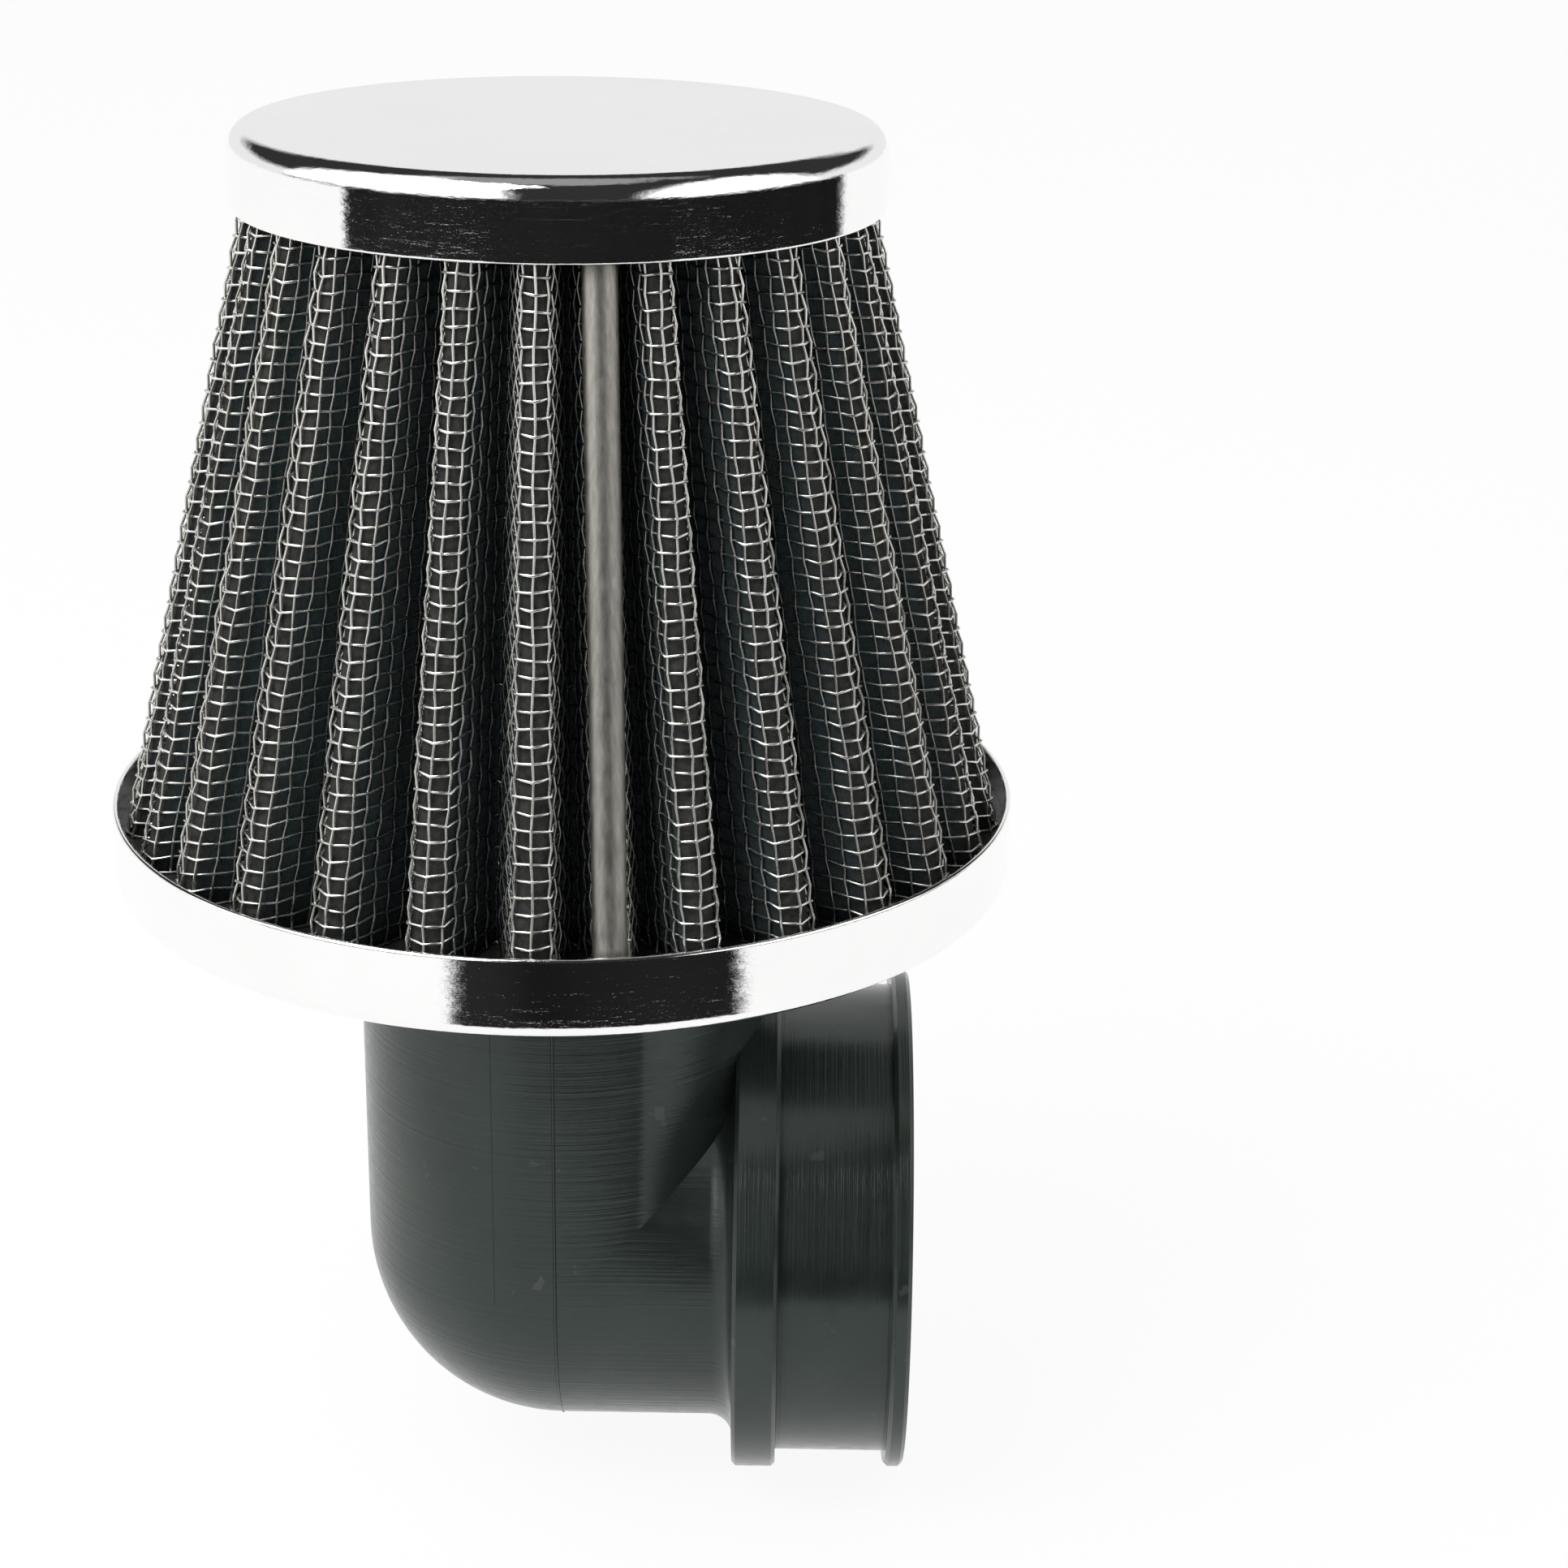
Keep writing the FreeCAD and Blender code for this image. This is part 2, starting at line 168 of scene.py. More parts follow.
MOTTLE, mottle_in, mottle_out = new_group(
    "Mottle",
    [("Vector", "NodeSocketVector", (0, 0, 0)), ("Scale", "NodeSocketFloat", 100.0)],
    [("Broad", "NodeSocketFloat"), ("Fine", "NodeSocketFloat")],
)
for output, times in (("Broad", 1.0), ("Fine", FINE_TIMES)):
    scaled = MOTTLE.nodes.new("ShaderNodeMath")
    scaled.operation = "MULTIPLY"
    scaled.inputs[1].default_value = times
    MOTTLE.links.new(mottle_in.outputs["Scale"], scaled.inputs[0])
    patch = noise(MOTTLE, mottle_in.outputs["Vector"], 1.0)
    MOTTLE.links.new(scaled.outputs["Value"], patch.inputs["Scale"])
    MOTTLE.links.new(stretch(MOTTLE, patch.outputs["Fac"], *NOISE_MIDDLE), mottle_out.inputs[output])
print("node groups:", STREAKS.name, MOTTLE.name)

# %% [markdown]
# Each finish is one Principled shader. The helpers below add a group, a colour ramp or a bump, and keep
# values that are the same all over on the shader's own sockets.

# %% Helpers for materials


def new_material(name, metallic, roughness):
    material = bpy.data.materials.new(name)
    material.use_nodes = True
    tree = material.node_tree
    shader = tree.nodes["Principled BSDF"]
    shader.inputs["Metallic"].default_value = metallic
    shader.inputs["Roughness"].default_value = roughness
    place = tree.nodes.new("ShaderNodeTexCoord")
    return material, tree, shader, place.outputs["Object"]


def add_group(tree, group, vector, setting, amount):
    node = tree.nodes.new("ShaderNodeGroup")
    node.node_tree = group
    tree.links.new(vector, node.inputs["Vector"])
    node.inputs[setting].default_value = amount
    return node


def ramp(tree, value, stops):
    node = tree.nodes.new("ShaderNodeValToRGB")
    for index, (place, colour) in enumerate(stops):
        if index < 2:
            stop = node.color_ramp.elements[index]
            stop.position = place
        else:
            stop = node.color_ramp.elements.new(place)
        stop.color = (*colour, 1.0)
    tree.links.new(value, node.inputs["Fac"])
    return node.outputs["Color"]


def spread(tree, value, low, high):
    """Turns 0 to 1 into a range, such as a range of roughness."""
    node = tree.nodes.new("ShaderNodeMapRange")
    node.inputs["To Min"].default_value = low
    node.inputs["To Max"].default_value = high
    tree.links.new(value, node.inputs["Value"])
    return node.outputs["Result"]


def mixed(tree, factor, first, second):
    """Blends two colours, each given as an output of a node or as plain numbers."""
    node = tree.nodes.new("ShaderNodeMix")
    node.data_type = "RGBA"
    tree.links.new(factor, node.inputs["Factor"])
    for socket, colour in (("A", first), ("B", second)):
        if isinstance(colour, tuple):
            node.inputs[socket].default_value = (*colour, 1.0)
        else:
            tree.links.new(colour, node.inputs[socket])
    return node.outputs["Result"]


def bump(tree, height, depth, strength, normal=None):
    node = tree.nodes.new("ShaderNodeBump")
    node.inputs["Distance"].default_value = depth
    node.inputs["Strength"].default_value = strength
    tree.links.new(height, node.inputs["Height"])
    if normal:
        tree.links.new(normal, node.inputs["Normal"])
    return node.outputs["Normal"]


# %% [markdown]
# Chrome plate is a mirror, but never a perfect one. The drawn sheet under it is slightly wavy, with fine
# marks that run round the cup, and fingers leave soft patches. So the mirror gets a faint bump and an
# uneven roughness.

# %% Chrome
PLATE_TONES = [(0.0, (0.94, 0.94, 0.935)), (1.0, (0.975, 0.975, 0.97))]
ROUND_MARKS = (250.0, 250.0, 1100.0)
WAVE_DEPTH = 0.2 * MM
MARK_DEPTH = 0.04 * MM


def chrome_finish():
    material, tree, shader, place = new_material("Chrome", 1.0, 0.05)
    handled = add_group(tree, MOTTLE, place, "Scale", 60.0)
    drawn = add_group(tree, STREAKS, place, "Stretch", ROUND_MARKS)
    tree.links.new(ramp(tree, handled.outputs["Broad"], PLATE_TONES), shader.inputs["Base Color"])
    tree.links.new(spread(tree, handled.outputs["Fine"], 0.02, 0.06), shader.inputs["Roughness"])
    wavy = bump(tree, handled.outputs["Broad"], WAVE_DEPTH, 0.12)
    tree.links.new(bump(tree, drawn.outputs["Value"], MARK_DEPTH, 0.45, wavy), shader.inputs["Normal"])
    return material


CHROME = chrome_finish()
print("finish:", CHROME.name)

# %% [markdown]
# The wires of the cloth are bright steel with a thin coating, and the clip is the same steel brushed along
# its length. One function makes both: only colour, streaks and roughness differ. Down in the folds the wires
# are painted darker, as painted shade: an attribute of the mesh, named depth, darkens them from the crests
# inwards.

# %% Steel for wires and clip
# Painted shade: the grey that the wires take deep in the folds.
PAINTED_FOLD_SHADE = (0.24, 0.25, 0.24)
GRAIN_DEPTH = 0.02 * MM


def fold_depth(tree):
    node = tree.nodes.new("ShaderNodeAttribute")
    node.attribute_name = "depth"
    return node.outputs["Fac"]


def steel_finish(name, dark, pale, rough_low, rough_high, lengths, shaded_in_folds=False):
    material, tree, shader, place = new_material(name, 1.0, rough_low)
    drawn = add_group(tree, STREAKS, place, "Stretch", lengths)
    patchy = add_group(tree, MOTTLE, place, "Scale", 90.0)
    colour = ramp(tree, drawn.outputs["Value"], [(0.0, dark), (1.0, pale)])
    # Painted shade: the wires' colour darkens towards the depth of the folds.
    if shaded_in_folds:
        colour = mixed(tree, fold_depth(tree), colour, PAINTED_FOLD_SHADE)
    tree.links.new(colour, shader.inputs["Base Color"])
    tree.links.new(spread(tree, patchy.outputs["Fine"], rough_low, rough_high), shader.inputs["Roughness"])
    tree.links.new(bump(tree, drawn.outputs["Value"], GRAIN_DEPTH, 0.2), shader.inputs["Normal"])
    return material


WIRE_TONES = (0.78, 0.77, 0.72), (0.97, 0.96, 0.91)
WIRE_GRAIN = (700, 700, 700)
CLIP_TONES = (0.30, 0.29, 0.255), (0.48, 0.465, 0.43)
BRUSHED_LENGTHWISE = (2600, 2600, 60)
WIRE_STEEL = steel_finish("Bright wire", *WIRE_TONES, 0.22, 0.36, WIRE_GRAIN, shaded_in_folds=True)
CLIP_STEEL = steel_finish("Brushed clip", *CLIP_TONES, 0.40, 0.50, BRUSHED_LENGTHWISE)
print("finishes:", WIRE_STEEL.name, CLIP_STEEL.name)

# %% [markdown]
# The gauze is oiled cotton: nearly black, dull and fuzzy, with a fine weave and some paler lint. Its weave
# and lint are bump and colour, because they are far finer than the wires in front of them. It has the same
# depth as the wires: the crests carry pale lint, and the folds take a green tone lifted above the crests'
# darkest, which is painted light against the shade down in the folds.

# %% Cotton gauze
CREST_LINT = [(0.0, (0.010, 0.010, 0.009)), (1.0, (0.060, 0.056, 0.048))]
# Partly painted light: the fold tone is lifted to make up for the shade down in the folds.
FOLD_LINT_AND_PAINTED_LIGHT = [(0.0, (0.020, 0.032, 0.034)), (1.0, (0.046, 0.062, 0.065))]
THREADS = (5200.0, 5200.0, 1400.0)
LINT_DEPTH = 0.3 * MM
THREAD_DEPTH = 0.1 * MM


def gauze_finish():
    material, tree, shader, place = new_material("Oiled cotton gauze", 0.0, 0.95)
    shader.inputs["Specular IOR Level"].default_value = 0.15
    lint = add_group(tree, MOTTLE, place, "Scale", 900.0)
    threads = add_group(tree, STREAKS, place, "Stretch", THREADS)
    crest = ramp(tree, lint.outputs["Broad"], CREST_LINT)
    inside = ramp(tree, lint.outputs["Fine"], FOLD_LINT_AND_PAINTED_LIGHT)
    # Partly painted light: crest tone at the crests, the lifted fold tone down in the folds.
    colour = mixed(tree, fold_depth(tree), crest, inside)
    tree.links.new(colour, shader.inputs["Base Color"])
    tree.links.new(spread(tree, lint.outputs["Fine"], 0.85, 1.0), shader.inputs["Roughness"])
    soft = bump(tree, lint.outputs["Broad"], LINT_DEPTH, 0.6)
    tree.links.new(bump(tree, threads.outputs["Value"], THREAD_DEPTH, 0.7, soft), shader.inputs["Normal"])
    return material


GAUZE = gauze_finish()
print("finish:", GAUZE.name)

# %% [markdown]
# Moulded rubber is a dark grey with a hint of green, smooth enough to mirror softly. The mould was turned on
# a lathe and left fine rings that the rubber copied: across the outlet, and level round the riser. A mask
# along X swaps one direction for the other. A few small pale scuffs come from handling.

# %% Rubber
OUTLET_FROM = AXIS_X + 18 * MM
BLEND = 2 * MM
GREEN_SHEEN = (0.86, 1.0, 0.93, 1.0)
ACROSS_OUTLET = (3800.0, 30.0, 30.0)
LEVEL_ON_RISER = (30.0, 30.0, 2600.0)
SCUFF_SHARE = (0.95, 1.05)
SKIN_DEPTH = 0.03 * MM
RING_DEPTH = 0.05 * MM


def rubber_finish(name, dark, pale, scuff, rough_low, rough_high):
    material, tree, shader, place = new_material(name, 0.0, rough_low)
    shader.inputs["Specular Tint"].default_value = GREEN_SHEEN
    patchy = add_group(tree, MOTTLE, place, "Scale", 75.0)
    specks = add_group(tree, MOTTLE, place, "Scale", 260.0)
    few = stretch(tree, specks.outputs["Broad"], *SCUFF_SHARE)
    tone = ramp(tree, patchy.outputs["Broad"], [(0.0, dark), (1.0, pale)])
    tree.links.new(mixed(tree, few, tone, scuff), shader.inputs["Base Color"])
    tree.links.new(spread(tree, patchy.outputs["Fine"], rough_low, rough_high), shader.inputs["Roughness"])
    outlet_rings = add_group(tree, STREAKS, place, "Stretch", ACROSS_OUTLET)
    riser_rings = add_group(tree, STREAKS, place, "Stretch", LEVEL_ON_RISER)
    where = tree.nodes.new("ShaderNodeSeparateXYZ")
    tree.links.new(place, where.inputs["Vector"])
    on_outlet = stretch(tree, where.outputs["X"], OUTLET_FROM - BLEND, OUTLET_FROM)
    rings = tree.nodes.new("ShaderNodeMix")
    tree.links.new(on_outlet, rings.inputs["Factor"])
    tree.links.new(riser_rings.outputs["Value"], rings.inputs["A"])
    tree.links.new(outlet_rings.outputs["Value"], rings.inputs["B"])
    skin = bump(tree, patchy.outputs["Fine"], SKIN_DEPTH, 0.1)
    tree.links.new(bump(tree, rings.outputs["Result"], RING_DEPTH, 0.5, skin), shader.inputs["Normal"])
    return material


RUBBER_TONES = (0.013, 0.018, 0.0155), (0.023, 0.030, 0.026), (0.06, 0.065, 0.06)
SEALANT_TONES = (0.010, 0.010, 0.010), (0.018, 0.018, 0.017), (0.03, 0.03, 0.03)
RUBBER = rubber_finish("Moulded rubber", *RUBBER_TONES, 0.15, 0.25)
SEALANT = rubber_finish("Cast sealant", *SEALANT_TONES, 0.30, 0.45)
print("finishes:", RUBBER.name, SEALANT.name)

# %% [markdown]
# Both chromed cups are drawn from sheet. A section through the sheet is laid out once, with small arcs at
# its corners, and turned round the filter's axis with Spin. A lathe shape like this stays perfectly round.
# Weighted normals let the broad faces keep their own direction, so that a straight rim mirrors as a straight
# rim and only the small arcs bend the reflection.

# %% Helper for turned sheet
MERGE_WITHIN = 0.002 * MM
CRISP_ANGLE = math.radians(40)


def arc(centre, radius, start, end, steps=8):
    """Points on an arc in the section plane, angles in degrees from straight out."""
    turns = [math.radians(start + (end - start) * step / steps) for step in range(steps + 1)]
    return [(centre[0] + radius * math.cos(turn), centre[1] + radius * math.sin(turn)) for turn in turns]


def spun(name, section, steps=224):
    """Turns a closed section, given as radius and height, once round the filter's axis."""
    points = [(AXIS_X + radius, 0.0, height) for radius, height in section]
    edges = [(index, (index + 1) % len(points)) for index in range(len(points))]
    piece = new_piece(name, points, edges, [])
    bpy.ops.object.mode_set(mode="EDIT")
    bpy.ops.mesh.select_all(action="SELECT")
    bpy.ops.mesh.spin(steps=steps, angle=math.tau, center=(AXIS_X, 0, 0), axis=(0, 0, 1))
    bpy.ops.mesh.select_all(action="SELECT")
    bpy.ops.mesh.remove_doubles(threshold=MERGE_WITHIN)
    bpy.ops.mesh.normals_make_consistent(inside=False)
    bpy.ops.object.mode_set(mode="OBJECT")
    bpy.ops.object.shade_smooth_by_angle(angle=CRISP_ANGLE)
    weigh = piece.modifiers.new("True rims", "WEIGHTED_NORMAL")
    weigh.weight = 100
    weigh.keep_sharp = True
    bpy.ops.object.modifier_apply(modifier=weigh.name)
    return piece


# %% [markdown]
# The base ring is a low cup with a drawn corner at its floor and a thin upper edge. Its floor has a hole
# for the elbow's riser, so the section starts there and comes back to it along the inside of the sheet.

# %% Base ring
SHEET = 0.6 * MM
RING_CORNER = 1.4 * MM
EDGE_R = SHEET / 2
RISER_R = 21.1 * MM
RING_HOLE_R = RISER_R + 0.3 * MM
RING_FLOOR_TOP_Z = RING_FLOOR_Z + SHEET
corner = (RING_R - RING_CORNER, RING_FLOOR_Z + RING_CORNER)
ring_section = (
    [(RING_HOLE_R, RING_FLOOR_Z)]
    + arc(corner, RING_CORNER, -90, 0)
    + arc((RING_R - EDGE_R, RIM_Z - EDGE_R), EDGE_R, 0, 180, 6)
    + arc(corner, RING_CORNER - SHEET, 0, -90)
    + [(RING_HOLE_R, RING_FLOOR_TOP_Z)]
)
base_ring = spun("chromed_base_ring", ring_section)
finish_piece(base_ring, CHROME, "chrome", "base_ring")

# %% [markdown]
# The top cap is the same kind of cup turned over. Its section runs from the middle of the top, over the
# rounded edge, down the rim and back along the inside. Both ends lie on the axis, where Spin closes them.

# %% Top cap
CAP_CORNER = 2.1 * MM
CAP_CEILING_Z = CAP_TOP_Z - SHEET
cap_corner = (CAP_R - CAP_CORNER, CAP_TOP_Z - CAP_CORNER)
cap_section = (
    [(0.0, CAP_CEILING_Z)]
    + arc(cap_corner, CAP_CORNER - SHEET, 90, 0)
    + arc((CAP_R - EDGE_R, CAP_EDGE_Z + EDGE_R), EDGE_R, 180, 360, 6)
    + arc(cap_corner, CAP_CORNER, 0, 90)
    + [(0.0, CAP_TOP_Z)]
)
top_cap = spun("chromed_top_cap", cap_section)
finish_piece(top_cap, CHROME, "chrome", "top_cap")

# %% [markdown]
# The pleated pack is a cone of folds, closed by a pinched seam. These are its sizes at the base ring's edge:
# how far out the crests lie, how many there are, how deep the folds go, and the small steps that round a
# crest. Each step goes so far across, and so far out from the crest circle.

# %% Sizes of the pleats
CREST_LOW = RING_R - 2.0 * MM
CREST_HIGH = CAP_R - 1.1 * MM
CREST_COUNT = 27
SEAM_TURN = 10.3
SEAM_SECTOR = 20.6
CREST_PITCH = (360 - SEAM_SECTOR) / (CREST_COUNT - 1)
PLEAT_DEPTH = 9.0 * MM
SIDE_WIRES = 4
CREST_STEPS = [(-1.65 * MM, -0.55 * MM), (0.0, 0.0), (1.65 * MM, -0.55 * MM)]
SEAM_STEPS = [(-1.05 * MM, -1.6 * MM), (1.05 * MM, -1.6 * MM)]
VALLEY_STEP = [(0.0, -PLEAT_DEPTH)]
print("crests: %d, one every %.2f degrees" % (CREST_COUNT, CREST_PITCH))

# %% [markdown]
# The outline of the folds is a closed row of stations. They are where the lengthwise wires run: three on a
# crest, two on the seam, four down each side and one in each valley. Each station also needs the directions
# along and out of the cloth, for the weave.

# %% Stations round the pleats


def fold(turned, steps):
    """Points of a fold, each a step across and a step out from the crest circle."""
    angle = math.radians(turned)
    out = Vector((math.sin(angle), -math.cos(angle), 0))
    across = Vector((math.cos(angle), math.sin(angle), 0))
    return [out * (CREST_LOW + rise) + across * side for side, rise in steps]


def between(first, last, count):
    return [first.lerp(last, step / (count + 1)) for step in range(1, count + 1)]


def fold_list():
    """Folds in order round the filter, starting with the crest after the seam."""
    first = SEAM_TURN + SEAM_SECTOR / 2
    folds = []
    for crest in range(CREST_COUNT):
        turned = first + CREST_PITCH * crest
        folds.append(fold(turned, CREST_STEPS))
        if crest < CREST_COUNT - 1:
            folds.append(fold(turned + CREST_PITCH / 2, VALLEY_STEP))
    folds.append(fold(SEAM_TURN - SEAM_SECTOR / 4, VALLEY_STEP))
    folds.append(fold(SEAM_TURN, SEAM_STEPS))
    folds.append(fold(SEAM_TURN + SEAM_SECTOR / 4, VALLEY_STEP))
    return folds


def pleat_stations():
    folds = fold_list()
    stations = []
    for here, following in zip(folds, folds[1:] + folds[:1]):
        stations += here
        stations += between(here[-1], following[0], SIDE_WIRES)
    return stations


STATIONS = pleat_stations()
BEFORE = STATIONS[-1:] + STATIONS[:-1]
AFTER = STATIONS[1:] + STATIONS[:1]
TANGENTS = [(after - before).normalized() for before, after in zip(BEFORE, AFTER)]
NORMALS = [Vector((tangent.y, -tangent.x, 0)) for tangent in TANGENTS]
print("lengthwise wires:", len(STATIONS))

# %% [markdown]
# The outline shrinks towards the cap, so that every line on it aims at the cone's tip. The same scale tells
# how deep in a fold a point lies, and the finishes read that from an attribute of the mesh.

# %% The cone


def cone_scale(height):
    share = (height - RIM_Z) / (CAP_EDGE_Z - RIM_Z)
    return (CREST_LOW + (CREST_HIGH - CREST_LOW) * share) / CREST_LOW


def on_cone(station, height):
    """A station's place at a height: the outline shrinks towards the cone's tip."""
    scale = cone_scale(height)
    return Vector((AXIS_X + station.x * scale, station.y * scale, height))


def mark_depth(piece, full):
    """Writes how far in from the crests each point lies, as 0 to 1 over a full depth."""
    depth = piece.data.attributes.new("depth", "FLOAT", "POINT")
    for entry, corner in zip(depth.data, piece.data.vertices):
        reach = math.hypot(corner.co.x - AXIS_X, corner.co.y) / cone_scale(corner.co.z)
        entry.value = min(1.0, max(0.0, (CREST_LOW - reach) / full))


print("scale at the cap's edge: %.3f" % cone_scale(CAP_EDGE_Z))

# %% [markdown]
# The gauze is a sheet through the same stations, just behind the wires. It is laid out as a grid, with
# one more point between stations, and given its thickness inwards with Solidify.

# %% Gauze
GAUZE_BEHIND = 0.42 * MM
GAUZE_THICK = 0.6 * MM
GAUZE_DEPTH = 2.4 * MM
GAUZE_ROWS = 24


def gauze_outline():
    outline = []
    behind = [station - normal * GAUZE_BEHIND for station, normal in zip(STATIONS, NORMALS)]
    for here, following in zip(behind, behind[1:] + behind[:1]):
        outline += [here, here.lerp(following, 0.5)]
    return outline


def sheet_between(name, outline, low, high, rows):
    heights = [low + (high - low) * row / rows for row in range(rows + 1)]
    points = [on_cone(point, height) for height in heights for point in outline]
    count = len(outline)
    faces = []
    for row in range(rows):
        for index in range(count):
            after = (index + 1) % count
            low_side = (row * count + index, row * count + after)
            faces.append((*low_side, low_side[1] + count, low_side[0] + count))
    return new_piece(name, points, [], faces)


gauze = sheet_between("pleated_gauze", gauze_outline(), PLEAT_LOW_Z, PLEAT_HIGH_Z, GAUZE_ROWS)
mark_depth(gauze, GAUZE_DEPTH)
thick = gauze.modifiers.new("Thickness", "SOLIDIFY")
thick.thickness = GAUZE_THICK
thick.offset = -1
bpy.ops.object.modifier_apply(modifier=thick.name)
bpy.ops.object.shade_smooth()
finish_piece(gauze, GAUZE, "cotton_gauze", "filter_medium")

# %% [markdown]
# Wire cloth is woven: each wire passes over one crossing wire and under the next. So a wire's height
# above the sheet swaps from crossing to crossing, and the two sets of wires take opposite turns. Each
# wire is a curve with a round bevel, made a mesh at the end. Four sides are enough for a wire this thin.
# Folding leaves no wire quite straight, so each crossing sways and sags a little, by waves along the cloth.

# %% Helpers for woven wires
WIRE_R = 0.15 * MM
WIRE_DEPTH = 5.5 * MM
WEAVE_RISE = 0.14 * MM
WOBBLE = 0.1 * MM
SWAY_BY_ROW, SWAY_BY_WIRE = 0.9, 2.3
SAG_BY_ROW, SAG_BY_WIRE = 0.6, 1.7
ROW_PITCH = 1.48 * MM
ROW_COUNT = round((PLEAT_HIGH_Z - PLEAT_LOW_Z) / ROW_PITCH)
ROW_GAP = (PLEAT_HIGH_Z - PLEAT_LOW_Z - 2 * WIRE_R) / ROW_COUNT
ROW_HEIGHTS = [PLEAT_LOW_Z + WIRE_R + ROW_GAP * row for row in range(ROW_COUNT + 1)]


def woven(index, row, side):
    """A wire's place at a crossing. Side is 1 for lengthwise wires and -1 for wires that run round."""
    rise = WEAVE_RISE * side * (-1) ** (index + row)
    sway = WOBBLE * math.sin(SWAY_BY_ROW * row + SWAY_BY_WIRE * index)
    sag = 0.0
    if 0 < row < ROW_COUNT:
        sag = WOBBLE * math.sin(SAG_BY_WIRE * index + SAG_BY_ROW * row)
    place = on_cone(STATIONS[index], ROW_HEIGHTS[row])
    return place + NORMALS[index] * rise + TANGENTS[index] * sway + Vector((0, 0, sag))


def wires(name, runs, closed, radius):
    """Bevelled curves through rows of points, made one mesh."""
    curve = bpy.data.curves.new(name, "CURVE")
    curve.dimensions = "3D"
    curve.bevel_depth = radius
    curve.bevel_resolution = 0
    curve.use_fill_caps = True
    for run in runs:
        spline = curve.splines.new("POLY")
        spline.points.add(len(run) - 1)
        for point, place in zip(spline.points, run):
            point.co = (*place, 1.0)
        spline.use_cyclic_u = closed
    piece = bpy.data.objects.new(name, curve)
    bpy.context.scene.collection.objects.link(piece)
    select_only(piece)
    bpy.ops.object.convert(target="MESH")
    piece = bpy.context.object
    bpy.ops.object.shade_smooth()
    return piece


# %% [markdown]
# One set of wires runs from the base ring to the cap. The other set runs round the filter, in closed rings.
# Together they stand for the one solid of the wire cloth.

# %% Woven wires
ALL_ROWS = range(len(ROW_HEIGHTS))
ALL_STATIONS = range(len(STATIONS))
long_runs = [[woven(index, row, 1) for row in ALL_ROWS] for index in ALL_STATIONS]
round_runs = [[woven(index, row, -1) for index in ALL_STATIONS] for row in ALL_ROWS]
long_wires = wires("lengthwise_wires", long_runs, False, WIRE_R)
mark_depth(long_wires, WIRE_DEPTH)
finish_piece(long_wires, WIRE_STEEL, "wire_cloth", "outer_mesh")
round_wires = wires("round_wires", round_runs, True, WIRE_R)
mark_depth(round_wires, WIRE_DEPTH)
finish_piece(round_wires, WIRE_STEEL, "wire_cloth", "outer_mesh")

# %% [markdown]
# The elbow's solid already has the right form, and only needs smooth shading. A solid's own mesh is never
# changed, so a copy is made, its loose triangles are merged, and the copy stands for the solid.

# %% Helper for a copy of a solid


def copied(node, name, angle):
    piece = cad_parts[node].copy()
    piece.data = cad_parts[node].data.copy()
    piece.name = name
    piece.parent = None
    for key in list(piece.keys()):
        del piece[key]
    bpy.context.scene.collection.objects.link(piece)
    select_only(piece)
    bpy.ops.object.mode_set(mode="EDIT")
    bpy.ops.mesh.select_all(action="SELECT")
    bpy.ops.mesh.remove_doubles(threshold=MERGE_WITHIN)
    bpy.ops.object.mode_set(mode="OBJECT")
    if piece.data.has_custom_normals:
        bpy.ops.mesh.customdata_custom_splitnormals_clear()
    bpy.ops.object.shade_smooth_by_angle(angle=math.radians(angle))
    return piece


# %% [markdown]
# The seam clip is a narrow strip folded over the seam, so its back is rounded. A cylinder is pressed to an
# oval and laid along the seam between the two cups. The seam isn't quite straight: it leans a little.

# %% Seam clip
CLIP_HALF = 1.6 * MM
CLIP_RISE = 1.2 * MM
CLIP_BELOW_CREST = 0.5 * MM
CLIP_TURNS = (9.5, 11.0)
CLIP_SIDES = 48
CLIP_EDGE = 0.02
clip_step = [(0.0, -CLIP_BELOW_CREST - CLIP_RISE)]
clip_foot = on_cone(fold(CLIP_TURNS[0], clip_step)[0], PLEAT_LOW_Z)
clip_head = on_cone(fold(CLIP_TURNS[1], clip_step)[0], PLEAT_HIGH_Z)
clip_way = clip_head - clip_foot

clear_selection()
bpy.ops.mesh.primitive_cylinder_add(vertices=CLIP_SIDES, radius=1.0, depth=1.0)
clip = bpy.context.object
clip.name = "folded_seam_clip"
bpy.ops.object.mode_set(mode="EDIT")
bpy.ops.mesh.select_all(action="SELECT")
bpy.ops.mesh.bevel(offset=CLIP_EDGE, segments=2, affect="EDGES")
bpy.ops.object.mode_set(mode="OBJECT")
clip_out = Vector((math.sin(math.radians(SEAM_TURN)), -math.cos(math.radians(SEAM_TURN)), 0))
clip_across = Vector((0, 0, 1)).cross(clip_out).normalized()
for corner in clip.data.vertices:
    share = corner.co.z + 0.5
    side = clip_across * corner.co.x * CLIP_HALF
    rise = clip_out * corner.co.y * CLIP_RISE
    corner.co = clip_foot + clip_way * share + side + rise
bpy.ops.object.mode_set(mode="EDIT")
bpy.ops.mesh.select_all(action="SELECT")
bpy.ops.mesh.normals_make_consistent(inside=False)
bpy.ops.object.mode_set(mode="OBJECT")
bpy.ops.object.shade_smooth_by_angle(angle=CRISP_ANGLE)
finish_piece(clip, CLIP_STEEL, "satin_steel", "seam_clip")

# %% [markdown]
# The elbow is one moulding, and its solid has the true form. The copy is smoothed between its crisp edges.
# Where the two halves of the mould met, a thin line of flash runs down the front of the riser, under the
# bend and up the back. It is a fine bevelled curve, half sunk in the rubber. A fainter line to its left is
# where a slide of the mould ended.

# %% Rubber elbow with its mould lines
ELBOW_CRISP = 32
elbow = copied("rubber_elbow", "moulded_elbow", ELBOW_CRISP)
finish_piece(elbow, RUBBER, "rubber", "rubber_elbow")

